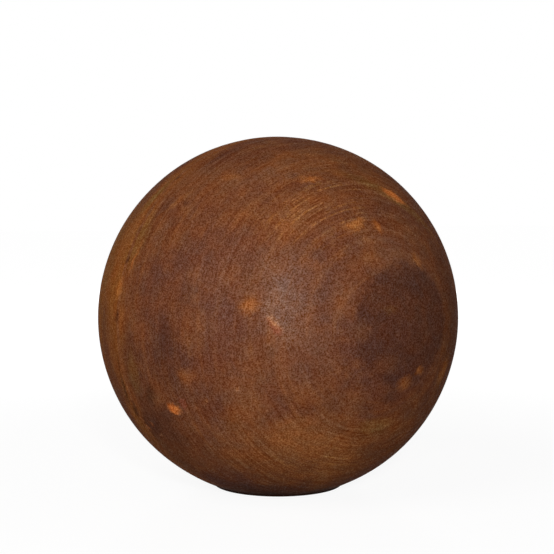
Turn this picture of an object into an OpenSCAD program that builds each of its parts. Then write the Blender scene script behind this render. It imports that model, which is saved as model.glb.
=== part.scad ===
// Hollow garden sphere of bare rusted steel.
// Two spun half shells are butt welded on a vertical seam, and the ball stands on a slice of tube that is
// welded into a round opening at its bottom.
// Millimetres. The origin is the middle of the foot ring's resting face, +Z is up, and the pole of the
// front half shell points along -Y.

/* [Ball] */
// Outside diameter of the ball
ball_d = 300; // [200:5:500]
// Sheet thickness at each pole, where the lathe clamped the blank
pole_wall = 1.5; // [1:0.1:3]
// Sheet thickness at the rim of each half shell, which spinning leaves thinner
rim_wall = 1.2; // [0.8:0.1:2.5]

/* [Seam weld] */
// Width of the weld metal at its root, on the inside of the wall
seam_root_w = 3; // [1.5:0.1:4]
// Slope of each melted rim, measured from square
seam_bevel = 40; // [20:1:50]
// How far the root bead laps over the wall on each side
seam_bead_lap = 0.7; // [0.4:0.1:1.5]
// Height of the root bead on the inside of the ball
seam_bead_h = 0.8; // [0.4:0.1:1.2]

/* [Foot ring] */
// Outside diameter of the foot ring, which is a slice of tube
foot_d = 108; // [60:1:160]
// Wall of the foot ring
foot_wall = 3.6; // [2:0.1:6]
// Height of the foot ring
foot_h = 10; // [8:0.5:30]
// Length of the foot ring that stands out below the skin of the ball
foot_stand = 1.2; // [0.6:0.1:6]
// Edge break on the corners of the foot ring
foot_edge = 0.4; // [0.2:0.1:0.5]

/* [Foot weld] */
// Width of the weld metal at its root, between the foot ring and the edge of the ball's opening
foot_root_w = 1.5; // [0.8:0.1:3]
// Slope of the opening's melted edge, measured from upright
foot_bevel = 45; // [30:1:55]
// Height that the root of the foot weld stands proud inside the ball
foot_bead_h = 0.5; // [0.2:0.1:1]

/* [Hidden] */
$fn = 256;
spare = 1;
under = 0.2;
rust = [0.41, 0.25, 0.16];
weld_rust = [0.46, 0.28, 0.15];
foot_rust = [0.25, 0.15, 0.10];
ball_r = ball_d / 2;
inner_r = ball_r - rim_wall;
thinning = pole_wall - rim_wall;
root_r = inner_r - under;
rim_root = seam_root_w / 2 - under * tan(seam_bevel);
rim_skin = seam_root_w / 2 + (rim_wall + spare) * tan(seam_bevel);
bead_w = seam_root_w + 2 * seam_bead_lap;
bead_curve = (pow(bead_w / 2, 2) + pow(seam_bead_h, 2)) / (2 * seam_bead_h);
foot_r = foot_d / 2;
opening_r = foot_r + foot_root_w;
centre_h = foot_stand + sqrt(pow(ball_r, 2) - pow(foot_r, 2));
opening_h = centre_h - sqrt(pow(inner_r, 2) - pow(opening_r, 2));
below_h = centre_h - ball_r - spare;
opening_low_r = opening_r + (opening_h - below_h) * tan(foot_bevel);

// Puts its children at the centre of the ball.
module at_centre() {
    translate([0, 0, centre_h]) children();
}

// Puts its children at the centre of the ball with their +Z on the front pole.
module on_pole_axis() {
    at_centre() rotate([90, 0, 0]) children();
}

// The wall of one half shell, cut through its axis, with the pole at the top. The inner circle is set back
// from the pole, so the wall runs smoothly from pole_wall down to rim_wall. The rim slants to meet the weld.
module wall_profile() {
    difference() {
        circle(r = ball_r);
        translate([0, -thinning]) circle(r = inner_r);
        translate([-2 * ball_r, -ball_r]) square([2 * ball_r, 2 * ball_r]);
        polygon([
            [-spare, -ball_r - spare],
            [ball_r + spare, -ball_r - spare],
            [ball_r + spare, rim_skin],
            [root_r, rim_root],
            [-spare, rim_root]
        ]);
    }
}

// The round opening in the bottom of the ball, with its edge slanted to meet the weld.
module foot_opening() {
    rotate_extrude() polygon([
        [0, below_h],
        [opening_low_r, below_h],
        [opening_r, opening_h],
        [opening_r, foot_h],
        [0, foot_h]
    ]);
}

// The weld between the two rims, cut through the pole axis: it lies flush with the skin outside, and
// sags through the root as a low round bead.
module seam_profile() {
    difference() {
        intersection() {
            circle(r = ball_r);
            union() {
                polygon([
                    [root_r, -rim_root],
                    [ball_r + spare, -rim_skin],
                    [ball_r + spare, rim_skin],
                    [root_r, rim_root]
                ]);
                translate([inner_r - seam_bead_h + bead_curve, 0]) circle(r = bead_curve);
            }
        }
        wall_profile();
        mirror([0, 1]) wall_profile();
    }
}

// A half shell in its place at the front, with its part of the opening cut out.
module half_shell() {
    difference() {
        on_pole_axis() rotate_extrude() wall_profile();
        foot_opening();
    }
}

module front_half_shell() {
    color(rust) half_shell();
}

module back_half_shell() {
    color(rust) mirror([0, 1, 0]) half_shell();
}

module seam_weld() {
    color(weld_rust) difference() {
        on_pole_axis() rotate_extrude() seam_profile();
        foot_opening();
    }
}

// A slice of tube on edge, with its four corners broken.
module foot_ring() {
    foot_bore_r = foot_r - foot_wall;
    color(foot_rust) rotate_extrude() polygon([
        [foot_bore_r + foot_edge, 0],
        [foot_r - foot_edge, 0],
        [foot_r, foot_edge],
        [foot_r, foot_h - foot_edge],
        [foot_r - foot_edge, foot_h],
        [foot_bore_r + foot_edge, foot_h],
        [foot_bore_r, foot_h - foot_edge],
        [foot_bore_r, foot_edge]
    ]);
}

// Weld metal between the foot ring and the edge of the opening, ground flush with the skin of the ball.
module foot_weld() {
    color(weld_rust) difference() {
        intersection() {
            foot_opening();
            at_centre() sphere(r = ball_r);
        }
        translate([0, 0, below_h - spare]) cylinder(r = foot_r, h = 2 * ball_r);
        at_centre() sphere(r = inner_r - foot_bead_h);
    }
}

front_half_shell();
back_half_shell();
seam_weld();
foot_ring();
foot_weld();
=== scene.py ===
"""Dresses the hollow garden sphere of rusted steel, and sets it in a plain pale studio.

The ball is two spun half shells butt welded on an upright seam, on a short ring of tube. Every
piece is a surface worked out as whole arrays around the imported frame, and every finish is a node
tree that reads Object coordinates, so it stays with the steel from all sides.
"""

import logging
import math
from dataclasses import dataclass
from enum import Enum

import bpy
import numpy as np
from mathutils import Matrix, Vector


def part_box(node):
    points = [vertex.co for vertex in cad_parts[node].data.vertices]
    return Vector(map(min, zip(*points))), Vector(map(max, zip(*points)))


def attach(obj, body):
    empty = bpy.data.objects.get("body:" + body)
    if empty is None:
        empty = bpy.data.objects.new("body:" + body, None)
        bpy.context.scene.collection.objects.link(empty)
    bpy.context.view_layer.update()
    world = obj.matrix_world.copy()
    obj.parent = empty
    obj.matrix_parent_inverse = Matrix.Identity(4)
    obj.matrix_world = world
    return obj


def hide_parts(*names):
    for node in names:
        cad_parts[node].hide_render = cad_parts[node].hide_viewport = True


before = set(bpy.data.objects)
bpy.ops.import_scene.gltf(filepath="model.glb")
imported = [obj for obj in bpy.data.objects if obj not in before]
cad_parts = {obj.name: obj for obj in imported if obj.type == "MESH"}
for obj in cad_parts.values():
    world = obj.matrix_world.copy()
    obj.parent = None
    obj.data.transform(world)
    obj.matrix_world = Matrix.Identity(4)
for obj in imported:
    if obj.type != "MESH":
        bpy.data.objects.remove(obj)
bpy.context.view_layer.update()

LOG = logging.getLogger("garden_sphere")
MM = 0.001
SHARP_DEGREES = 32


# ---- surfaces


def smooth_step(value: np.ndarray) -> np.ndarray:
    """Eases a share from 0 to 1 with level ends: clipped to t, it becomes t * t * (3 - 2 * t)."""
    t = np.clip(value, 0.0, 1.0)
    return t * t * (3.0 - 2.0 * t)


def bearing(azimuth: float, elevation: float) -> Vector:
    """Gives the unit vector at two angles in degrees: (sin a cos e, -cos a cos e, sin e)."""
    a, e = math.radians(azimuth), math.radians(elevation)
    return Vector((math.sin(a) * math.cos(e), -math.cos(a) * math.cos(e), math.sin(e)))


@dataclass(frozen=True)
class Ripple:
    """Slow, seeded unevenness in space: a sum of plane waves with random directions and phases."""

    wavelength: float
    seed: int
    waves: int = 9
    variation: float = 0.2

    def at(self, points: np.ndarray) -> np.ndarray:
        """Gives the height of the waves, from about -1 to 1.

        The height is the sum of sin(k . p + phase) over the waves, divided by the root of twice
        their number. Each k points its own way and is 2 pi over the wavelength long, give or take
        the variation.

        Args:
            points: Places in metres, as an array whose last axis is x, y, z.

        Returns:
            One height for each place.
        """
        rng = np.random.default_rng(self.seed)
        ways = rng.normal(size=(self.waves, 3))
        ways /= np.linalg.norm(ways, axis=1, keepdims=True)
        lengths = rng.uniform(1 - self.variation, 1 + self.variation, (self.waves, 1))
        ways *= 2 * math.pi / self.wavelength * lengths
        phases = rng.uniform(0, 2 * math.pi, self.waves)
        return np.sin(points @ ways.T + phases).sum(-1) / math.sqrt(2 * self.waves)


def strip_faces(rows: int, columns: int, round_rows: bool) -> np.ndarray:
    """Joins a grid into quads: two neighbours in one row and the two below, round the columns.

    Args:
        rows: Number of rows in the grid.
        columns: Number of columns, which always close into a ring.
        round_rows: Whether the last row joins the first.

    Returns:
        An array of four point numbers for each face.
    """
    top = np.arange(rows if round_rows else rows - 1)[:, None] * columns
    under = (top + columns) % (rows * columns)
    this = np.arange(columns)[None, :]
    following = (this + 1) % columns
    quads = (top + this, under + this, under + following, top + following)
    return np.stack(quads, -1).reshape(-1, 4)


def add_object(name: str, data: bpy.types.ID) -> bpy.types.Object:
    """Makes an object and links it to the scene.

    Args:
        name: Name of the object.
        data: Its mesh, light or camera.

    Returns:
        The object.
    """
    made = bpy.data.objects.new(name, data)
    bpy.context.scene.collection.objects.link(made)
    return made


def closed_piece(name: str, grid: np.ndarray, ends: np.ndarray | None) -> bpy.types.Object:
    """Makes a closed mesh from a grid of points, facing outwards.

    With no ends the rows close into a ring, as on a torus. With ends, a fan of triangles runs
    from the first row to the first end point, and another from the last row to the second.

    Args:
        name: Name of the piece.
        grid: Points in metres, as rows by columns by x, y, z.
        ends: The two end points, or None.

    Returns:
        The new object.
    """
    rows, columns, _ = grid.shape
    points = grid.reshape(-1, 3)
    quads = strip_faces(rows, columns, ends is None)
    fans = np.empty((0, 3), int)
    if ends is not None:
        this = np.arange(columns)
        following = (this + 1) % columns
        last = (rows - 1) * columns
        tip = np.full(columns, len(points))
        first_fan = np.stack([this, following, tip], -1)
        last_fan = np.stack([last + following, last + this, tip + 1], -1)
        fans = np.concatenate([first_fan, last_fan])
        points = np.concatenate([points, ends])
    corners = np.concatenate([quads[:, :3], quads[:, [0, 2, 3]], fans])
    a, b, c = (points[corners[:, i]] for i in range(3))
    if np.einsum("ij,ij->i", a, np.cross(b, c)).sum() < 0:
        quads, fans = quads[:, ::-1], fans[:, ::-1]
    mesh = bpy.data.meshes.new(name)
    mesh.from_pydata(points.tolist(), [], quads.tolist() + fans.tolist())
    mesh.shade_smooth()
    mesh.set_sharp_from_angle(angle=math.radians(SHARP_DEGREES))
    mesh.validate()
    mesh.update()
    return add_object(name, mesh)


# ---- finishes


Socket = bpy.types.NodeSocket


class Tint(Enum):
    """The colours of the rust on this ball and of its painted sheen and shade, as a painter writes
    them, from 0 to 255.
    """

    MAUVE = (90, 53, 42)
    PURPLE = (70, 42, 35)
    BROWN = (110, 64, 39)
    OCHRE = (136, 82, 46)
    ORANGE = (186, 110, 50)
    GOLD = (172, 114, 58)
    PALE = (180, 122, 84)
    FRESH = (214, 118, 56)
    AMBER = (142, 80, 30)
    UMBER = (74, 41, 24)
    OLIVE = (124, 83, 42)
    RED = (132, 62, 42)
    # the grey of a painted sheen, laid where the lamps' soft highlight falls on the front
    SHEEN_GREY = (142, 116, 104)
    # SOOT_AND_SHADE is the black of the weld's pores, and also the painted shade on the skin just
    # above the ground
    SOOT_AND_SHADE = (24, 12, 8)
    SCALE = (58, 50, 47)

    @property
    def light(self) -> tuple[float, ...]:
        """The colour in the linear light that shaders take, with the screen's curve undone."""
        shares = [value / 255 for value in self.value]
        return *(s / 12.92 if s <= 0.04045 else ((s + 0.055) / 1.055) ** 2.4 for s in shares), 1.0


WHITE = (1.0, 1.0, 1.0, 1.0)
# Casts are laid on as overlays: 0.5 changes nothing, less darkens a channel and more lightens it.
DARK_CAST = (0.30, 0.15, 0.0, 1.0)
PALE_CAST = (0.74, 0.91, 1.04, 1.0)
COOL_CAST = (0.42, 0.56, 0.74, 1.0)
WARM_CAST = (0.61, 0.44, 0.26, 1.0)


class Graph:
    """Adds shader nodes to the emptied tree of one material or world, and wires them up."""

    def __init__(self, owner: bpy.types.Material | bpy.types.World) -> None:
        """Empties the tree.

        Args:
            owner: The material or world.
        """
        owner.use_nodes = True
        self.tree = owner.node_tree
        self.tree.nodes.clear()

    def add(self, kind: str, inputs: dict, **settings: object) -> bpy.types.Node:
        """Adds one node.

        Args:
            kind: Blender's name for the node's type, without its ShaderNode.
            inputs: What goes into each socket, by name or number: a node's socket, or a value.
            **settings: Properties of the node itself.

        Returns:
            The node.
        """
        node = self.tree.nodes.new("ShaderNode" + kind)
        for key, value in settings.items():
            setattr(node, key, value)
        for key, value in inputs.items():
            if isinstance(value, Socket):
                self.tree.links.new(value, node.inputs[key])
            else:
                node.inputs[key].default_value = value
        return node

    def math(self, operation: str, first: object, second: object = 0.0) -> Socket:
        """Gives the result of a Math node on one or two numbers."""
        return self.add("Math", {0: first, 1: second}, operation=operation).outputs[0]

    def vector(self, operation: str, first: object, second: object = (0, 0, 0)) -> Socket:
        """Gives the result of a Vector Math node: its number for LENGTH, or else its vector."""
        node = self.add("VectorMath", {0: first, 1: second}, operation=operation)
        return node.outputs["Value" if operation == "LENGTH" else "Vector"]

    def parts(self, vector: Socket) -> tuple[Socket, Socket, Socket]:
        """Splits a vector into its x, y and z."""
        parts = self.add("SeparateXYZ", {0: vector}).outputs
        return parts["X"], parts["Y"], parts["Z"]

    def spread(
        self, value: Socket, low: float, high: float, start: float = 0.0, end: float = 1.0
    ) -> Socket:
        """Carries low to high over to start to end, with smooth ends and nothing outside."""
        values = {0: value, 1: low, 2: high, 3: start, 4: end}
        return self.add("MapRange", values, interpolation_type="SMOOTHSTEP").outputs[0]

    def mix(self, share: object, under: object, over: object, mode: str = "MIX") -> Socket:
        """Lays one colour over another by a share: sockets 6 and 7 are the Mix node's colours."""
        values = {0: share, 6: under, 7: over}
        return self.add("Mix", values, data_type="RGBA", blend_type=mode).outputs[2]


@dataclass(frozen=True)
class Ball:
    """The sizes that the pieces share, in metres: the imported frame's, then the steel's own."""

    radius: float
    centre: float
    foot_radius: float
    opening: float
    rim: float
    pole_wall: float = 1.5 * MM
    rim_wall: float = 1.2 * MM
    root_half: float = 1.5 * MM
    opening_root: float = 55.5 * MM
    inset: float = 0.10 * MM

    @classmethod
    def from_frame(cls) -> "Ball":
        """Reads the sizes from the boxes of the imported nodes.

        The centre is sqrt(radius ** 2 - foot_radius ** 2) above the height of the stand, where
        the ring's outer wall meets the skin.

        Returns:
            The sizes.
        """
        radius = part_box("back_half_shell")[1].y
        foot_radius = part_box("foot_ring")[1].x
        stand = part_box("foot_weld")[0].z
        centre = stand + math.sqrt(radius**2 - foot_radius**2)
        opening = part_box("foot_weld")[1].x
        return cls(radius, centre, foot_radius, opening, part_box("seam_weld")[1].y)


@dataclass(frozen=True)
class Stain:
    """One mark in the rust: where it lies, seen from the ball's centre, and how it looks.

    Azimuth 0 is the front pole and grows to the right of someone who faces it. Sizes are full
    widths in millimetres.
    """

    azimuth: float
    elevation: float
    long: float
    wide: float
    tint: Tint
    strength: float
    lean: float = 0.0
    soft: float = 0.6

    def frame(self, radius: float) -> tuple[Vector, Matrix]:
        """Gives the mark's middle on the skin, and its axes: along it, across it and outwards.

        Args:
            radius: The ball's radius, in the unit of the sizes.

        Returns:
            The middle, and a matrix whose columns are the axes.
        """
        out = bearing(self.azimuth, self.elevation)
        level, lean = bearing(self.azimuth + 90, 0), math.radians(self.lean)
        rise = out.cross(level)
        along = level * math.cos(lean) + rise * math.sin(lean)
        across = out.cross(along)
        return out * radius, Matrix((along, across, out)).transposed()


@dataclass(frozen=True)
class Noise:
    """A cloudy pattern: its blotches' size, in the unit of its place, and its finer octaves."""

    size: float
    detail: float = 2.0
    rough: float = 0.5


@dataclass(frozen=True)
class ToolMarks:
    """Marks that run round the pole: width and length in millimetres, and finer octaves."""

    across: float
    along: float
    detail: float = 2.0
    rough: float = 0.6


class SkinGraph(Graph):
    """A material's graph that knows where on the ball the shaded point lies, in millimetres."""

    def __init__(self, owner: bpy.types.Material, ball: Ball) -> None:
        """Finds the place from the ball's centre, its parts, and its angle from the front pole.

        Args:
            owner: The material.
            ball: The ball.
        """
        super().__init__(owner)
        self.radius = ball.radius / MM
        values = {
            "Vector": self.add("TexCoord", {}).outputs["Object"],
            "Location": (0.0, 0.0, -ball.centre / MM),
            "Scale": (1 / MM, 1 / MM, 1 / MM),
        }
        self.place = self.add("Mapping", values, vector_type="POINT").outputs[0]
        self.x, self.y, self.z = self.parts(self.place)
        _, backward, _ = self.parts(self.vector("NORMALIZE", self.place))
        self.polar = self.math("ARCCOSINE", self.math("MULTIPLY", backward, -1.0))

    def cloud(self, place: Socket, noise: Noise) -> bpy.types.Node:
        """Adds a noise node, whose outputs are the level Fac and the Color."""
        values = {"Scale": 1 / noise.size, "Detail": noise.detail, "Roughness": noise.rough}
        return self.add("TexNoise", {"Vector": place, **values})

    def noise(self, noise: Noise) -> Socket:
        """Gives a noise's level at the shaded point, from 0 to 1 and mostly from 0.3 to 0.7."""
        return self.cloud(self.place, noise).outputs["Fac"]

    def marks(self, marks: ToolMarks) -> Socket:
        """Draws marks round the pole: a noise of size 1, in space squeezed to the marks' sizes.

        Args:
            marks: The marks.

        Returns:
            Their level.
        """
        arc = self.math("MULTIPLY", self.polar, self.radius / marks.across)
        x = self.math("DIVIDE", self.x, marks.along)
        z = self.math("DIVIDE", self.z, marks.along)
        squeezed = self.add("CombineXYZ", {0: x, 1: arc, 2: z}).outputs[0]
        return self.cloud(squeezed, Noise(1, marks.detail, marks.rough)).outputs["Fac"]

    def cover(self, place: Socket, stain: Stain) -> Socket:
        """Gives how far a stain covers the skin at a place, fading over its soft edge.

        Args:
            place: The place in millimetres.
            stain: The stain.

        Returns:
            The share, from 0 to the stain's strength.
        """
        middle, axes = stain.frame(self.radius)
        outer = (1 + stain.soft) / 2
        deep = 2 * max(stain.long, stain.wide)
        values = {
            "Vector": place,
            "Location": middle,
            "Rotation": axes.to_euler("XYZ"),
            "Scale": [size * outer for size in (stain.long, stain.wide, deep)],
        }
        local = self.add("Mapping", values, vector_type="TEXTURE").outputs[0]
        ball = self.add("TexGradient", {"Vector": local}, gradient_type="SPHERICAL")
        return self.spread(ball.outputs["Fac"], 0, stain.soft / outer, 0, stain.strength)


SEAM_STAINS = (
    # pores, drips and fresh rust along the weld
    Stain(-90, 20, 7, 5, Tint.UMBER, 0.75, 80),
    Stain(-91, 3, 9, 5, Tint.UMBER, 0.85, 80),
    Stain(-92, -12, 14, 4, Tint.SOOT_AND_SHADE, 0.4, 88),
    Stain(-93, -20, 26, 5, Tint.SOOT_AND_SHADE, 0.5, 80),
    Stain(-91, -27, 16, 6, Tint.SOOT_AND_SHADE, 0.55, 70),
    Stain(-88, -31, 10, 5, Tint.UMBER, 0.6, 60),
    Stain(-90, 50, 7, 4, Tint.UMBER, 0.7, 60),
    Stain(-88, -33, 4, 4, Tint.FRESH, 0.6),
    Stain(-84, -31, 4, 4, Tint.FRESH, 0.7),
    Stain(-82, -35, 5, 3, Tint.PALE, 0.6),
    Stain(-91, 11, 16, 9, Tint.ORANGE, 0.5, 85),
    Stain(-86, 21, 24, 3, Tint.FRESH, 0.3, 80),
    Stain(88, 24, 9, 6, Tint.SOOT_AND_SHADE, 0.6, 80),
    Stain(91, -14, 18, 8, Tint.ORANGE, 0.5, 85),
)

SHELL_STAINS = SEAM_STAINS + (
    # the discs where the blanks were clamped for spinning
    Stain(7, 1, 98, 92, Tint.PURPLE, 0.6, 0, 0.1),
    Stain(183, 2, 84, 88, Tint.PURPLE, 0.5, 20, 0.2),
    # broad zones of the front and its sides
    Stain(-24, -33, 66, 36, Tint.OCHRE, 0.9, 15),
    Stain(-12, -38, 46, 32, Tint.OCHRE, 0.6),
    Stain(-22, 37, 56, 34, Tint.OCHRE, 0.3, 30),
    Stain(0, 31, 84, 22, Tint.OCHRE, 0.2, 5),
    Stain(-11, -54, 40, 13, Tint.OCHRE, 0.6, -85),
    Stain(-42, -61, 84, 22, Tint.PURPLE, 0.65),
    Stain(-39, -9, 34, 18, Tint.PURPLE, 0.2, 80),
    Stain(-30, -42, 92, 28, Tint.OCHRE, 0.45, 5),
    Stain(-10, -42, 32, 22, Tint.OCHRE, 0.65),
    Stain(-16, -50, 34, 14, Tint.OCHRE, 0.4),
    Stain(6, -32, 50, 20, Tint.OCHRE, 0.35),
    Stain(-1, -10, 22, 15, Tint.BROWN, 0.45),
    Stain(-32, -30, 34, 26, Tint.OCHRE, 0.5),
    Stain(-17, -29, 28, 14, Tint.SCALE, 0.22, -10),
    Stain(8, 14, 62, 28, Tint.PURPLE, 0.35, 0, 0.4),
    Stain(-13, 40, 26, 15, Tint.OCHRE, 0.2, 20),
    Stain(-28, 31, 24, 16, Tint.OCHRE, 0.35, 30),
    Stain(-54, -14, 34, 26, Tint.BROWN, 0.4),
    Stain(24, 47, 66, 30, Tint.OCHRE, 0.4, -30),
    Stain(-46, -28, 60, 30, Tint.OCHRE, 0.5, 75),
    Stain(-49, 1, 50, 26, Tint.MAUVE, 0.5, 80),
    Stain(-74, 8, 60, 36, Tint.MAUVE, 0.5, 90),
    Stain(-84, -12, 52, 26, Tint.PURPLE, 0.45, 90),
    Stain(-97, 20, 80, 34, Tint.AMBER, 0.55, 90),
    Stain(-110, 6, 110, 34, Tint.AMBER, 0.5, 90),
    Stain(-52, 24, 62, 42, Tint.MAUVE, 0.45),
    Stain(10, 34, 52, 30, Tint.MAUVE, 0.45),
    Stain(-26, -8, 42, 30, Tint.MAUVE, 0.35),
    Stain(-68, -7, 56, 30, Tint.PURPLE, 0.55, 90),
    Stain(-80, -38, 80, 40, Tint.PURPLE, 0.42, 60),
    Stain(-78, -20, 18, 10, Tint.SOOT_AND_SHADE, 0.4, 70),
    Stain(-74, -27, 26, 14, Tint.PURPLE, 0.4, 60),
    Stain(-68, -2, 22, 16, Tint.PURPLE, 0.36, 80, 0.8),
    Stain(-84, -30, 40, 20, Tint.PURPLE, 0.6, 60),
    Stain(30, 50, 90, 26, Tint.UMBER, 0.2, -45),
    Stain(-15, 10, 34, 22, Tint.OCHRE, 0.3, 60),
    Stain(34, 0, 120, 40, Tint.UMBER, 0.4, 90),
    Stain(1, -30, 30, 14, Tint.OLIVE, 0.5),
    Stain(0, 6, 12, 8, Tint.OLIVE, 0.2),
    # painted sheen: pale grey patches where the lamps' soft highlight falls on the front
    Stain(-28, 6, 90, 60, Tint.SHEEN_GREY, 0.09, 90, 0.9),
    Stain(-52, 14, 64, 44, Tint.SHEEN_GREY, 0.06, 90, 0.9),
    Stain(8, 22, 66, 44, Tint.SHEEN_GREY, 0.05, 0, 0.9),
    Stain(-32, 10, 54, 28, Tint.SHEEN_GREY, 0.18, 100, 0.9),
    Stain(0, -50, 66, 34, Tint.OCHRE, 0.5, 10, 0.9),
    Stain(-66, 50, 80, 40, Tint.OCHRE, 0.3, 0, 0.9),
    Stain(5, 63, 90, 34, Tint.OCHRE, 0.2, 0, 0.9),
    Stain(-10, 20, 56, 20, Tint.OCHRE, 0.12, 10, 0.9),
    Stain(14, 31, 34, 24, Tint.OCHRE, 0.3, 0, 0.9),
    Stain(-62, -44, 60, 30, Tint.OCHRE, 0.3, 0, 0.9),
    Stain(-44, -15, 30, 22, Tint.OCHRE, 0.3, 0, 0.9),
    Stain(-10, -52, 26, 44, Tint.OCHRE, 0.3, 0, 0.9),
    Stain(20, -34, 34, 34, Tint.OCHRE, 0.3, 0, 0.9),
    Stain(-61, 9, 26, 18, Tint.PURPLE, 0.35, 0, 0.9),
    Stain(-11, -20, 22, 16, Tint.OCHRE, 0.35, 0, 0.9),
    Stain(-10, 0, 16, 14, Tint.OCHRE, 0.25, 0, 0.9),
    Stain(-40, -21, 20, 16, Tint.OCHRE, 0.3, 0, 0.9),
    Stain(30, -20, 24, 20, Tint.OCHRE, 0.22, 0, 0.9),
    Stain(-94, 31, 64, 26, Tint.OCHRE, 0.4, 85, 0.9),
    Stain(-108, 20, 90, 34, Tint.OLIVE, 0.45, 90, 0.9),
    # small fresh spots and streaks
    Stain(-69, -24, 11, 8, Tint.FRESH, 0.65, -10),
    Stain(-65, -22, 5, 9, Tint.RED, 0.45, 20),
    Stain(19, 42, 84, 13, Tint.OLIVE, 0.55, -42),
    Stain(21, 42, 20, 9, Tint.FRESH, 0.72, -42),
    Stain(-7, 32, 18, 6, Tint.ORANGE, 0.5, 20, 0.7),
    Stain(-7, 30, 12, 3, Tint.ORANGE, 0.3, 20, 0.7),
    Stain(2, 31, 10, 6, Tint.ORANGE, 0.4, -70, 0.8),
    Stain(-20, 49, 16, 7, Tint.ORANGE, 0.4, 10, 0.8),
    Stain(-5, 21, 13, 9, Tint.OCHRE, 0.5, 0, 0.9),
    Stain(15, 20, 13, 6, Tint.ORANGE, 0.35, -60, 0.8),
    Stain(-42, 8, 13, 10, Tint.ORANGE, 0.36, 30, 0.9),
    Stain(-35, 2, 14, 6, Tint.RED, 0.55, -50),
    Stain(-35, 3, 10, 5, Tint.PALE, 0.65, -50, 0.8),
    Stain(-56, 50, 13, 7, Tint.OCHRE, 0.8),
    Stain(-75, 41, 20, 6, Tint.OCHRE, 0.6, 50),
    Stain(-80, 36, 26, 6, Tint.OCHRE, 0.4, 55),
    Stain(-71, 39, 6, 5, Tint.PURPLE, 0.4),
    Stain(-95, 42, 34, 10, Tint.OLIVE, 0.8, 75),
    Stain(-88, 26, 44, 18, Tint.OLIVE, 0.55, 85),
    Stain(-90, 2, 14, 8, Tint.OCHRE, 0.6, 90),
    Stain(-84, -14, 34, 12, Tint.OLIVE, 0.45, 84),
    Stain(31, -15, 20, 13, Tint.ORANGE, 0.42, 60, 0.8),
    Stain(4, -20, 18, 14, Tint.PURPLE, 0.4),
    Stain(8, -16, 12, 9, Tint.ORANGE, 0.3, 0, 0.9),
    Stain(14, -13, 8, 6, Tint.ORANGE, 0.38, 0, 0.8),
    Stain(-62, -13, 11, 9, Tint.ORANGE, 0.2, 0, 0.9),
    Stain(-56, -20, 3, 3, Tint.PALE, 0.4),
    Stain(-46, -16, 3, 3, Tint.PALE, 0.4),
    # the far side
    Stain(150, 20, 12, 8, Tint.ORANGE, 0.7, 25),
    Stain(195, -22, 54, 26, Tint.OCHRE, 0.5, 65),
    Stain(112, -8, 60, 26, Tint.PURPLE, 0.5, 80),
    Stain(215, 38, 36, 12, Tint.OLIVE, 0.6, -50),
    Stain(172, -34, 9, 6, Tint.ORANGE, 0.8),
    Stain(150, 48, 70, 30, Tint.MAUVE, 0.5, 20),
    Stain(60, 30, 46, 20, Tint.OCHRE, 0.5, 40),
    Stain(75, -30, 10, 6, Tint.ORANGE, 0.7, 70),
    Stain(230, -10, 60, 30, Tint.PURPLE, 0.45, 80),
)

GILT_ZONES = (
    # where the tool marks show as fine gold lines
    Stain(-19, 39, 80, 60, Tint.GOLD, 0.4, 10, 0.8),
    Stain(-18, -44, 70, 40, Tint.GOLD, 0.4, -10, 0.9),
    Stain(160, 36, 70, 44, Tint.GOLD, 0.4, 20, 0.9),
)


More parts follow.
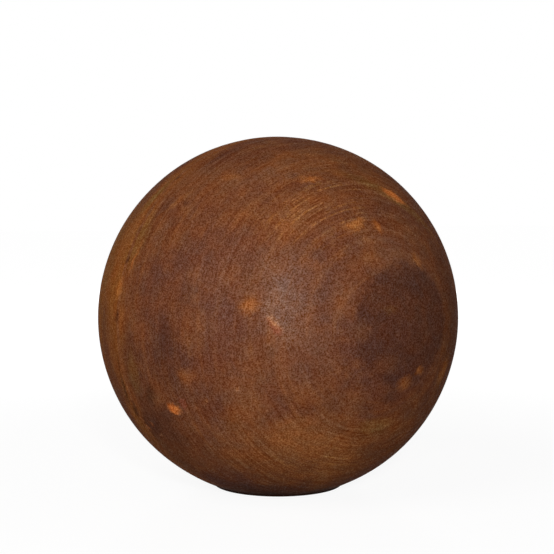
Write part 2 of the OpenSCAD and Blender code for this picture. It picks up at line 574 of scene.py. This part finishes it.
@dataclass(frozen=True)
class RustFinish:
    """Rust on bare steel: blotched coat, stains, spinning tool's marks, pale grain, painted ground
    shade.

    Lengths are in millimetres, and a share says how strongly something tells.
    """

    ball: Ball
    name: str
    stains: tuple[Stain, ...] = ()
    spun: bool = True
    warmth: float = 0.0
    rough: float = 0.78
    glint: float = 0.42
    gloss: float = 0.01
    zones: Noise = Noise(62)
    blotches: Noise = Noise(15, 4, 0.62)
    blotch_share: float = 0.33
    wide_marks: ToolMarks = ToolMarks(7, 60)
    ochre_share: float = 0.3
    mauve_share: float = 0.25
    band_middle: float = 4.0
    band_edge: Noise = Noise(26, 3, 0.6)
    band_wander: float = 30.0
    band_share: float = 0.5
    stain_edge: Noise = Noise(5, 3, 0.65)
    stain_wander: float = 9.0
    fine_marks: ToolMarks = ToolMarks(2, 46, 3)
    patches: Noise = Noise(40)
    dashes: Noise = Noise(4)
    casts: Noise = Noise(13, 3, 0.55)
    cast_share: float = 0.26
    flecks: Noise = Noise(2.9, 3, 0.6)
    fleck_share: float = 0.30
    fleck_height: float = 0.10
    grains: Noise = Noise(1.05, 1)
    grain_share: float = 0.82
    grain_height: float = 0.06
    hue_share: float = 0.08
    # the painted shade near the ground: how its edge wanders and how dark it gets
    ground_shade_edge: Noise = Noise(18)
    ground_shade_wander: float = 3.0
    ground_shade_share: float = 0.95
    mill_scale: Noise = Noise(11, 4, 0.65)
    scores: ToolMarks = ToolMarks(1.6, 60, 2, 0.5)
    score_height: float = 0.03

    def build(self) -> bpy.types.Material:
        """Builds the finish on Object coordinates.

        Returns:
            The material.
        """
        material = bpy.data.materials.new(self.name)
        g = SkinGraph(material, self.ball)
        flecks, grains = g.noise(self.flecks), g.cloud(g.place, self.grains)
        colour = self._stains(g, self._band(g, self._coat(g)))
        if self.spun:
            colour = self._tooling(g, colour)
        colour = self._speckle(g, colour, flecks, grains)
        # painted shade: the outer skin and the foot's outer wall go nearly black just above the
        # ground
        colour = self._inside(g, self._paint_ground_shade(g, colour))
        level = grains.outputs["Fac"]
        values = {
            "Base Color": colour,
            "Roughness": g.spread(level, 0.56, 0.70, self.rough, self.glint),
            "Specular IOR Level": self.gloss,
            "Normal": self._relief(g, flecks, level),
        }
        surface = g.add("BsdfPrincipled", values)
        g.add("OutputMaterial", {"Surface": surface.outputs[0]})
        return material

    def _coat(self, g: SkinGraph) -> Socket:
        """Lays the general coat: broad zones, blotches, and wide marks of the spinning tool.

        Args:
            g: The material's graph.

        Returns:
            The colour.
        """
        ochre, mauve = Tint.OCHRE.light, Tint.MAUVE.light
        zones = g.spread(g.noise(self.zones), 0.30, 0.66, 0.25, 1)
        colour = g.mix(zones, mauve, Tint.BROWN.light)
        blotches = g.noise(self.blotches)
        colour = g.mix(g.spread(blotches, 0.46, 0.72, 0, self.blotch_share), colour, ochre)
        colour = g.mix(g.spread(blotches, 0.44, 0.26, 0, self.blotch_share), colour, mauve)
        if self.spun:
            marks = g.marks(self.wide_marks)
            colour = g.mix(g.spread(marks, 0.52, 0.72, 0, self.ochre_share), colour, ochre)
            colour = g.mix(g.spread(marks, 0.48, 0.32, 0, self.mauve_share), colour, mauve)
        return colour

    def _band(self, g: SkinGraph, colour: Socket) -> Socket:
        """Adds the amber band that the weld's heat left on spun steel, or else the warmth.

        Args:
            g: The material's graph.
            colour: The colour so far.

        Returns:
            The new colour.
        """
        if not self.spun:
            return g.mix(self.warmth, colour, Tint.OCHRE.light)
        off_seam = g.math("ABSOLUTE", g.math("SUBTRACT", g.y, self.band_middle))
        wander = g.math("SUBTRACT", g.noise(self.band_edge), 0.5)
        ragged = g.math("ADD", off_seam, g.math("MULTIPLY", wander, self.band_wander))
        return g.mix(g.spread(ragged, 22, 4, 0, self.band_share), colour, Tint.AMBER.light)

    def _stains(self, g: SkinGraph, colour: Socket) -> Socket:
        """Lays each stain over the colour, with ragged edges from a small shift of the place.

        Args:
            g: The material's graph.
            colour: The colour so far.

        Returns:
            The new colour.
        """
        if not self.stains:
            return colour
        cloud = g.cloud(g.place, self.stain_edge).outputs["Color"]
        shift = g.vector("SUBTRACT", cloud, (0.5,) * 3)
        ragged = g.vector("ADD", g.place, g.vector("MULTIPLY", shift, (self.stain_wander,) * 3))
        for stain in self.stains:
            colour = g.mix(g.cover(ragged, stain), colour, stain.tint.light)
        return colour

    def _tooling(self, g: SkinGraph, colour: Socket) -> Socket:
        """Draws the fine tool marks in patches, and turns some of them to broken gold lines.

        They are fainter towards the ball's middle height and inside the clamped discs.

        Args:
            g: The material's graph.
            colour: The colour so far.

        Returns:
            The new colour.
        """
        marks = g.marks(self.fine_marks)
        patches = g.spread(g.noise(self.patches), 0.42, 0.58, 0.11, 0.48)
        off_middle = g.spread(g.math("ABSOLUTE", g.z), 25, 85, 0.4, 1)
        off_disc = g.spread(g.math("SINE", g.polar), 0.34, 0.56, 0.1, 1)
        share = g.math("MULTIPLY", g.math("MULTIPLY", off_middle, patches), off_disc)
        colour = self._shade(g, colour, g.spread(marks, 0.32, 0.68), share)
        dashes = g.spread(g.noise(self.dashes), 0.38, 0.58)
        lines = g.math("MULTIPLY", g.spread(marks, 0.50, 0.64), dashes)
        for zone in GILT_ZONES:
            gilt = g.math("MULTIPLY", lines, g.cover(g.place, zone))
            colour = g.mix(gilt, colour, zone.tint.light)
        return colour

    def _speckle(
        self, g: SkinGraph, colour: Socket, flecks: Socket, grains: bpy.types.Node
    ) -> Socket:
        """Casts the coat cool and warm in turn, and strews it with flecks and salt-like grains.

        Args:
            g: The material's graph.
            colour: The colour so far.
            flecks: The flecks' level.
            grains: The grains' noise node.

        Returns:
            The new colour.
        """
        cast = g.mix(g.spread(g.noise(self.casts), 0.3, 0.7), COOL_CAST, WARM_CAST)
        colour = g.mix(self.cast_share, colour, cast, "OVERLAY")
        colour = self._shade(g, colour, g.spread(flecks, 0.25, 0.75), self.fleck_share)
        level = g.spread(grains.outputs["Fac"], 0.25, 0.75)
        colour = self._shade(g, colour, level, self.grain_share)
        return g.mix(self.hue_share, colour, grains.outputs["Color"], "OVERLAY")

    def _shade(self, g: Graph, colour: Socket, level: Socket, share: Socket | float) -> Socket:
        """Makes a colour darker and fuller where a level is low, and paler where it is high."""
        return g.mix(share, colour, g.mix(level, DARK_CAST, PALE_CAST), "OVERLAY")

    def _paint_ground_shade(self, g: SkinGraph, colour: Socket) -> Socket:
        """Paints shade: darkens the outer skin nearly to black over the last few millimetres above
        the ground.

        The dark stops at the foot's outer edge, so the ring's end face and its bore stay brown.

        Args:
            g: The material's graph.
            colour: The colour so far.

        Returns:
            The new colour.
        """
        height = g.math("ADD", g.z, self.ball.centre / MM)
        wander = g.math("MULTIPLY", g.noise(self.ground_shade_edge), self.ground_shade_wander)
        level = g.math("SUBTRACT", height, wander)
        from_axis = g.vector("LENGTH", g.vector("MULTIPLY", g.place, (1.0, 1.0, 0.0)))
        edge = self.ball.foot_radius / MM
        outside = g.spread(from_axis, edge - 0.5, edge - 0.15)
        share = g.math("MULTIPLY", g.spread(level, 10, -0.5, 0, self.ground_shade_share), outside)
        return g.mix(share, colour, Tint.SOOT_AND_SHADE.light)

    def _inside(self, g: SkinGraph, colour: Socket) -> Socket:
        """Turns the wall inside the ball to grey-brown mill scale with a little rust.

        Args:
            g: The material's graph.
            colour: The colour so far.

        Returns:
            The new colour.
        """
        within = g.spread(g.vector("LENGTH", g.place), g.radius - 0.5, g.radius - 1.1)
        rusty = g.spread(g.noise(self.mill_scale), 0.46, 0.66)
        return g.mix(within, colour, g.mix(rusty, Tint.SCALE.light, Tint.MAUVE.light))

    def _relief(self, g: SkinGraph, flecks: Socket, grains: Socket) -> Socket:
        """Raises scabs of rust, and scores the marks of the spinning tool.

        Args:
            g: The material's graph.
            flecks: The flecks' level.
            grains: The grains' level.

        Returns:
            The bumped normal.
        """
        height = g.math("MULTIPLY", flecks, self.fleck_height)
        height = g.math("ADD", height, g.math("MULTIPLY", grains, self.grain_height))
        if self.spun:
            scores = g.math("MULTIPLY", g.marks(self.scores), self.score_height)
            height = g.math("ADD", height, scores)
        return g.add("Bump", {"Strength": 1.0, "Distance": MM, "Height": height}).outputs[0]


# ---- pieces


class Side(Enum):
    """Which half shell it is. The value is the way that its pole points along Y."""

    FRONT = -1
    BACK = 1


def dress(piece: bpy.types.Object, node: str, finish: bpy.types.Material) -> None:
    """Gives a piece its finish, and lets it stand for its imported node.

    Args:
        piece: The piece.
        node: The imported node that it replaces.
        finish: The material.
    """
    piece.data.materials.append(finish)
    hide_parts(node)
    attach(piece, "root")
    LOG.info("%s: %d faces", piece.name, len(piece.data.polygons))


def full_turn(columns: int) -> np.ndarray:
    """Gives evenly spaced turns round an axis, as one row."""
    return np.linspace(0, 2 * math.pi, columns, endpoint=False)[None, :]


def revolve(radius: np.ndarray, height: np.ndarray, turn: np.ndarray) -> np.ndarray:
    """Carries a section round the upright axis: x is r * cos(turn) and y is r * sin(turn)."""
    return np.stack([radius * np.cos(turn), radius * np.sin(turn), height], -1)


@dataclass
class HalfShell:
    """One spun half of the ball, with its part of the round opening for the foot cut out."""

    ball: Ball
    side: Side
    notch_columns: int = 72
    plain_columns: int = 348
    outer_rows: int = 150
    inner_rows: int = 44
    lump_size: float = 75 * MM
    lump_depth: float = 0.20 * MM
    lump_seed: int = 11
    ring_pitch: float = 6.5 * MM
    ring_depth: float = 0.02 * MM
    pad_angle: float = 16.0
    pad_groove: float = 0.05 * MM
    groove_width: float = 3 * MM
    fade: float = 12 * MM

    def turns_and_edge(
        self, radius: float, rim: float, opening: float
    ) -> tuple[np.ndarray, np.ndarray]:
        """Places the columns round the pole axis, and finds where each meets the shell's edge.

        Turns are measured from straight down. The opening, of half-angle a, cuts the columns up to
        the corner's turn, at the polar angle asin(cos(a) / cos(turn)). Their turns are
        atan(tan(corner) * sin(t)) for even t, so they crowd towards the corner, where the cut is
        steepest. All others end at the rim, at acos(rim / radius).

        Args:
            radius: Radius of the wall's face.
            rim: Distance of the rim from the face's own centre, along the pole axis.
            opening: Radius of the opening at this face.

        Returns:
            The turn and the edge's polar angle of each column, in radians.
        """
        rim_polar = math.acos(rim / radius)
        cut = math.asin(opening / radius)
        corner = math.acos(math.cos(cut) / math.sin(rim_polar))
        steps = np.linspace(-math.pi / 2, math.pi / 2, self.notch_columns)
        notch = np.arctan(math.tan(corner) * np.sin(steps))
        plain = np.linspace(corner, 2 * math.pi - corner, self.plain_columns + 2)[1:-1]
        at_notch = np.arcsin(np.minimum(math.cos(cut) / np.cos(notch), math.sin(rim_polar)))
        edge = np.concatenate([at_notch, np.full(self.plain_columns, rim_polar)])
        return np.concatenate([notch, plain]), edge

    def facing(self, polar: np.ndarray, turn: np.ndarray) -> np.ndarray:
        """Gives the unit vector at a polar angle and a turn about the pole from straight down.

        Its parts are sin(polar) * sin(turn), cos(polar) towards the pole, and
        -sin(polar) * cos(turn).

        Args:
            polar: Angles from the pole.
            turn: Turns about it.

        Returns:
            The vectors, with x, y, z on the last axis.
        """
        polar, turn = np.broadcast_arrays(polar, turn)
        y = self.side.value * np.cos(polar)
        return np.stack([np.sin(polar) * np.sin(turn), y, -np.sin(polar) * np.cos(turn)], -1)

    def relief(self, facing: np.ndarray, polar: np.ndarray, to_edge: np.ndarray) -> np.ndarray:
        """Gives how far the skin lies below the true ball.

        It is the inset, plus slow lumps, the shallow rings cos(2 pi arc / pitch) of the spinning
        tool, and a groove round the clamping pad, which all fade out by the edge.

        Args:
            facing: Unit vectors of the points.
            polar: Their angles from the pole.
            to_edge: Their distances from the shell's edge, in metres.

        Returns:
            The depths, in metres.
        """
        ripple = Ripple(self.lump_size, self.lump_seed + self.side.value)
        lumps = 0.5 + 0.5 * ripple.at(facing * self.ball.radius)
        rings = 0.5 + 0.5 * np.cos(2 * math.pi * polar * self.ball.radius / self.ring_pitch)
        off_pad = (polar - math.radians(self.pad_angle)) * self.ball.radius / self.groove_width
        depth = self.lump_depth * np.clip(lumps, 0, 1) + self.ring_depth * rings
        depth = depth + self.pad_groove * np.exp(-(off_pad**2))
        return self.ball.inset + depth * smooth_step(to_edge / self.fade)

    def build(self) -> bpy.types.Object:
        """Builds the closed shell: the skin out to its edge, then the inner face to the pole.

        The inner face has the rim wall's radius and is set back from the pole, so the wall
        thickens towards the pole.

        Returns:
            The piece.
        """
        ball = self.ball
        centre = np.array([0.0, 0.0, ball.centre])
        turn, edge = self.turns_and_edge(ball.radius, ball.rim, ball.opening)
        polar = np.linspace(0, 1, self.outer_rows + 1)[1:, None] * edge
        facing = self.facing(polar, turn)
        depth = self.relief(facing, polar, (edge - polar) * ball.radius)
        outer = centre + facing * (ball.radius - depth)[..., None]

        set_back = ball.pole_wall - ball.rim_wall
        inner_radius = ball.radius - ball.rim_wall
        inner_centre = centre - np.array([0.0, self.side.value * set_back, 0.0])
        root = ball.root_half + set_back
        turn, edge = self.turns_and_edge(inner_radius, root, ball.opening_root)
        polar = np.linspace(1, 0, self.inner_rows + 1)[:-1, None] * edge
        inner = inner_centre + self.facing(polar, turn) * inner_radius

        pole = np.array([0.0, float(self.side.value), 0.0])
        pad = self.relief(pole[None], np.zeros(1), np.ones(1))[0]
        ends = np.stack([centre + pole * (ball.radius - pad), inner_centre + pole * inner_radius])
        name = f"{self.side.name.lower()}_shell_skin"
        return closed_piece(name, np.concatenate([outer, inner]), ends)


@dataclass
class SeamWeld:
    """The weld between the half shells, ground flush outside, with its root bead inside."""

    ball: Ball
    bead_half: float = 2.2 * MM
    bead_height: float = 0.8 * MM
    bead_pitch: float = 4.5 * MM
    bead_ripple: float = 0.12 * MM
    grind_depth: float = 0.03 * MM
    grind_pitch: float = 9 * MM
    grind_drift_pitch: float = 31 * MM
    grind_drift: float = 1.3
    opening_slope: float = 45.0
    stations: int = 1700
    skin_points: int = 15
    bead_points: int = 7
    # each open pore on the -X side: its elevation in degrees, then its length along the seam, its
    # offset across it and its depth in millimetres
    pores: tuple[tuple[float, float, float, float], ...] = (
        (20, 2.6, 0.2, 0.5),
        (17.5, 1.2, -0.6, 0.3),
        (3, 2.2, 0.5, 0.6),
        (1.8, 1.2, 1.0, 0.4),
        (-12, 2.0, 0.0, 0.5),
        (-19, 5.0, 0.9, 0.6),
        (-21.5, 3.4, 0.6, 0.5),
        (-27, 2.0, 0.3, 0.5),
        (-29.5, 1.8, -0.2, 0.5),
        (51, 2.0, 0.0, 0.4),
        (33, 1.4, 0.4, 0.3),
        (-48, 2.4, 0.1, 0.4),
    )
    pore_half: float = 0.6 * MM

    def section(self) -> tuple[np.ndarray, np.ndarray]:
        """Walks round the weld's section: over the skin, down one rim, round the bead and back.

        The skin lies on the ball, at sqrt(radius ** 2 - across ** 2) from the pole axis. The
        root bead is height * (1 - (across / half) ** 2) below the inner face.

        Returns:
            The distance across the seam and the distance from the pole axis of each point.
        """
        ball = self.ball
        across = np.linspace(-ball.rim, ball.rim, self.skin_points)
        skin = np.sqrt((ball.radius - ball.inset) ** 2 - across**2)
        root = ball.radius - ball.rim_wall
        bead = np.linspace(self.bead_half, -self.bead_half, self.bead_points)
        sag = root - self.bead_height * (1 - (bead / self.bead_half) ** 2)
        across = np.concatenate([across, [ball.root_half], bead, [-ball.root_half]])
        return across, np.concatenate([skin, [root], sag, [root]])

    def pits(self, turn: np.ndarray, across: np.ndarray) -> np.ndarray:
        """Sinks each pore as a round-bottomed pit.

        Its depth is the pore's times exp(-(along / half) ** 2 - (off / half) ** 2), and its turn
        is 270 degrees less its elevation.

        Args:
            turn: Turns about the pole axis from straight down, in radians.
            across: Distances across the seam, in metres.

        Returns:
            The depths, in metres.
        """
        elevation, length, offset, depth = np.array(self.pores).T
        middle = np.radians(270 - elevation)
        along = (turn[..., None] - middle) * self.ball.radius / (length * MM / 2)
        off = (across[..., None] - offset * MM) / self.pore_half
        return (depth * MM * np.exp(-(along**2) - off**2)).sum(-1)

    def build(self) -> bpy.types.Object:
        """Carries the section round the pole axis, from one side of the opening to the other.

        Each path starts and ends where it is the opening's radius at its height away from the
        upright axis, which a few rounds of substitution find. The skin sinks by its pits and the
        grinder's shallow waves, and the bead rises and falls in even ripples.

        Returns:
            The piece.
        """
        ball = self.ball
        across, from_axis = self.section()
        slope = math.tan(math.radians(self.opening_slope))
        height = ball.centre - np.sqrt(from_axis**2 - ball.opening**2)
        skin_height = ball.centre - math.sqrt(ball.radius**2 - ball.opening**2)
        for _ in range(4):
            opening = ball.opening - (height - skin_height) * slope
            opening = np.clip(opening, ball.opening_root, ball.opening)
            x = np.sqrt(opening**2 - across**2)
            height = ball.centre - np.sqrt(from_axis**2 - x**2)
        start = np.arcsin(x / from_axis)
        share = np.linspace(0, 1, self.stations)[:, None]
        turn = start + share * (2 * math.pi - 2 * start)
        across = np.broadcast_to(across, turn.shape)
        arc = turn * ball.radius

        number = np.arange(len(start))
        on_skin = number < self.skin_points
        on_bead = (number > self.skin_points) & (number < len(number) - 1)
        drift = self.grind_drift * np.sin(arc / self.grind_drift_pitch)
        grind = self.grind_depth * (1 + np.sin(arc / self.grind_pitch + drift))
        flat = smooth_step(1 - np.abs(across) / ball.rim)
        crown = 1 - (across / self.bead_half) ** 2
        ripple = self.bead_ripple * (1 + np.sin(2 * math.pi * arc / self.bead_pitch)) * crown
        sunk = on_skin * flat * (grind + self.pits(turn, across))
        reach = from_axis - sunk + on_bead * ripple
        grid = np.stack([reach * np.sin(turn), across, ball.centre - reach * np.cos(turn)], -1)
        return closed_piece("seam_weld_bead", grid, grid[[0, -1]].mean(1))


@dataclass
class FootRing:
    """The slice of tube that the ball stands on, with broken corners and slight dents."""

    ball: Ball
    wall: float = 3.6 * MM
    height: float = 10.0 * MM
    corner: float = 0.4 * MM
    corner_points: int = 5
    flat_points: int = 7
    columns: int = 420
    dent_size: float = 30 * MM
    dent_depth: float = 0.05 * MM
    dent_seed: int = 5

    def section(self) -> tuple[np.ndarray, np.ndarray]:
        """Walks round the tube's wall: a quarter circle at each corner, points along each flat.

        Returns:
            The distance from the upright axis and the height of each point.
        """
        c = self.corner
        low, high = self.ball.foot_radius - self.wall + c, self.ball.foot_radius - c
        middles = [(high, c), (high, self.height - c), (low, self.height - c), (low, c)]
        along = np.linspace(0, 1, self.flat_points)[1:-1]
        radii, heights = [], []
        for number, (r, z) in enumerate(middles):
            angle = math.pi / 2 * (np.linspace(-1, 0, self.corner_points) + number)
            radii.append(r + c * np.cos(angle))
            heights.append(z + c * np.sin(angle))
            next_r, next_z = middles[(number + 1) % 4]
            turn = math.pi / 2 * number
            radii.append(r + c * math.cos(turn) + along * (next_r - r))
            heights.append(z + c * math.sin(turn) + along * (next_z - z))
        return np.concatenate(radii), np.concatenate(heights)

    def build(self) -> bpy.types.Object:
        """Carries the section round the upright axis, and dents its wall by a slow ripple.

        Returns:
            The piece.
        """
        radius, height = self.section()
        radius = radius[:, None]
        height = np.broadcast_to(height[:, None], (len(height), self.columns))
        points = revolve(radius, height, full_turn(self.columns))
        ripple = Ripple(self.dent_size, self.dent_seed)
        dip = self.dent_depth * np.clip(0.5 + 0.5 * ripple.at(points), 0, 1)
        points[..., :2] *= (1 - dip / radius)[..., None]
        return closed_piece("foot_tube", points, None)


@dataclass
class FootWeld:
    """The weld between the foot ring and the edge of the opening, ground back to the skin."""

    ball: Ball
    crown: float = 0.5 * MM
    pool_pitch: float = 3.6 * MM
    pool_depth: float = 0.12 * MM
    pool_lean: float = 2.2
    columns: int = 900
    skin_points: int = 7
    root_points: int = 5

    def build(self) -> bpy.types.Object:
        """Carries the weld's section round the upright axis.

        The skin side runs along the ball, centre - sqrt(radius ** 2 - r ** 2), from the ring to
        the opening, and the root side back over the top. The skin sinks by ripples that lean like
        the solidified pool, depth * (1 + cos(2 pi arc / pitch - lean * across)) / 2.

        Returns:
            The piece.
        """
        ball = self.ball
        skin_r = np.linspace(ball.foot_radius, ball.opening, self.skin_points)
        skin_z = ball.centre - np.sqrt((ball.radius - ball.inset) ** 2 - skin_r**2)
        root_r = np.linspace(ball.opening_root, ball.foot_radius, self.root_points)
        crown = self.crown * np.sin(np.linspace(0, math.pi / 2, self.root_points))
        root_z = ball.centre - np.sqrt((ball.radius - ball.rim_wall) ** 2 - root_r**2) + crown
        radius = np.concatenate([skin_r, root_r])[:, None]
        height = np.concatenate([skin_z, root_z])[:, None]
        turn = full_turn(self.columns)
        across = (radius - ball.foot_radius) / (ball.opening - ball.foot_radius)
        waves = round(2 * math.pi * ball.opening / self.pool_pitch)
        wave = 0.5 + 0.5 * np.cos(turn * waves - self.pool_lean * across)
        on_skin = (np.arange(len(radius)) < self.skin_points)[:, None]
        pool = np.sin(math.pi * np.clip(across, 0, 1)) * on_skin
        height = height + self.pool_depth * pool * wave
        return closed_piece("foot_weld_bead", revolve(radius, height, turn), None)


# ---- studio


def aim(thing: bpy.types.Object, place: Vector, way: Vector) -> None:
    """Puts a lamp or camera at a place, looking along a way, level with the floor."""
    thing.location = place
    thing.rotation_euler = way.to_track_quat("-Z", "Y").to_euler()


@dataclass(frozen=True)
class Lamp:
    """A soft round lamp, placed by its angles and distance from the ball's centre."""

    name: str
    azimuth: float
    elevation: float
    distance: float
    size: float
    watts: float

    def build(self, target: Vector) -> None:
        """Makes the lamp and aims it at its target.

        Args:
            target: The ball's centre.
        """
        out = bearing(self.azimuth, self.elevation)
        light = bpy.data.lights.new(self.name, "AREA")
        light.shape, light.size, light.energy = "DISK", self.size, self.watts
        aim(add_object(self.name, light), target + out * self.distance, -out)


@dataclass(frozen=True)
class Studio:
    """A plain pale floor, a white surround, five soft lamps and the camera.

    The camera's distance is in radii of the ball, and its rise and swing turn it a little off
    the ball's centre. Glows and greys are shares of white.
    """

    ball: Ball
    azimuth: float = -34.0
    elevation: float = 5.0
    distance: float = 7.3
    lens: float = 84.7
    sensor: float = 36.0
    rise: float = 1.717
    swing: float = -0.045
    floor_half: float = 9.0
    floor_drop: float = 0.2 * MM
    floor_grey: float = 0.16
    floor_glow: float = 0.90
    far_glow: float = 0.98
    near: float = 0.25
    far: float = 1.1
    ambient: float = 0.085
    lamps: tuple[Lamp, ...] = (
        Lamp("key", -28, 20, 2.6, 0.3, 21.5),
        Lamp("front", -43, 5, 2.6, 0.8, 36.0),
        Lamp("fill", -80, 44, 2.6, 1.6, 14.0),
        Lamp("side", 85, 4, 2.6, 0.8, 3.5),
        Lamp("back", 146, 3, 2.6, 0.6, 55.0),
    )

    def build(self) -> None:
        """Builds everything around the ball."""
        target = Vector((0, 0, self.ball.centre))
        self._floor()
        self._surround()
        for lamp in self.lamps:
            lamp.build(target)
        self._camera(target)
        bpy.context.scene.view_settings.view_transform = "Standard"

    def _seen(self, g: Graph) -> Socket:
        """Tells what the camera sees, straight, in a gloss or through glass, from the rest.

        Args:
            g: The graph.

        Returns:
            1 for what it sees, or else 0.
        """
        path = g.add("LightPath", {}).outputs
        direct = g.math("MAXIMUM", path["Is Camera Ray"], path["Is Glossy Ray"])
        return g.math("MAXIMUM", direct, path["Is Transmission Ray"])

    def _floor(self) -> None:
        """Lays the floor: a dull grey that takes the shadow, lifted to white where it is seen."""
        half, low = self.floor_half, -self.floor_drop
        corners = [(-half, -half, low), (half, -half, low), (half, half, low), (-half, half, low)]
        mesh = bpy.data.meshes.new("floor")
        mesh.from_pydata(corners, [], [(0, 1, 2, 3)])
        material = bpy.data.materials.new("pale_floor")
        g = Graph(material)
        grey = (self.floor_grey,) * 3 + (1.0,)
        dull = g.add("BsdfDiffuse", {"Color": grey}).outputs[0]
        away = g.vector("LENGTH", g.add("TexCoord", {}).outputs["Object"])
        lift = g.spread(away, self.near, self.far, self.floor_glow, self.far_glow)
        strength = g.math("MULTIPLY", self._seen(g), lift)
        glow = g.add("Emission", {"Strength": strength}).outputs[0]
        both = g.add("AddShader", {0: dull, 1: glow}).outputs[0]
        g.add("OutputMaterial", {"Surface": both})
        mesh.materials.append(material)
        add_object("floor", mesh)

    def _surround(self) -> None:
        """Makes the world white where it is seen, and a dim grey as light on the ball."""
        world = bpy.data.worlds.new("surround")
        bpy.context.scene.world = world
        g = Graph(world)
        strength = g.spread(self._seen(g), 0, 1, self.ambient, 1)
        glow = g.add("Background", {"Color": WHITE, "Strength": strength}).outputs[0]
        g.add("OutputWorld", {"Surface": glow})

    def _camera(self, target: Vector) -> None:
        """Places the camera to the left of the front pole, a little above the centre.

        Args:
            target: The ball's centre.
        """
        out = bearing(self.azimuth, self.elevation)
        way = -bearing(self.azimuth - self.swing, self.elevation - self.rise)
        data = bpy.data.cameras.new("camera")
        data.lens, data.sensor_width = self.lens, self.sensor
        data.clip_start = 0.01
        camera = add_object("camera", data)
        aim(camera, target + out * self.distance * self.ball.radius, way)
        bpy.context.scene.camera = camera


def main() -> None:
    logging.basicConfig(level=logging.INFO, format="%(message)s")
    ball = Ball.from_frame()
    LOG.info("radius %.2f mm, centre %.2f mm up", ball.radius / MM, ball.centre / MM)
    shell_rust = RustFinish(ball, "spun_shell_rust", SHELL_STAINS).build()
    weld_rust = RustFinish(ball, "weld_rust", SEAM_STAINS, spun=False, warmth=0.5).build()
    foot_rust = RustFinish(ball, "foot_rust", spun=False).build()
    for side in Side:
        shell = HalfShell(ball, side).build()
        dress(shell, f"{side.name.lower()}_half_shell", shell_rust)
    dress(SeamWeld(ball).build(), "seam_weld", weld_rust)
    dress(FootRing(ball).build(), "foot_ring", foot_rust)
    dress(FootWeld(ball).build(), "foot_weld", weld_rust)
    Studio(ball).build()
    LOG.info("size file written")


if __name__ == "__main__":
    main()
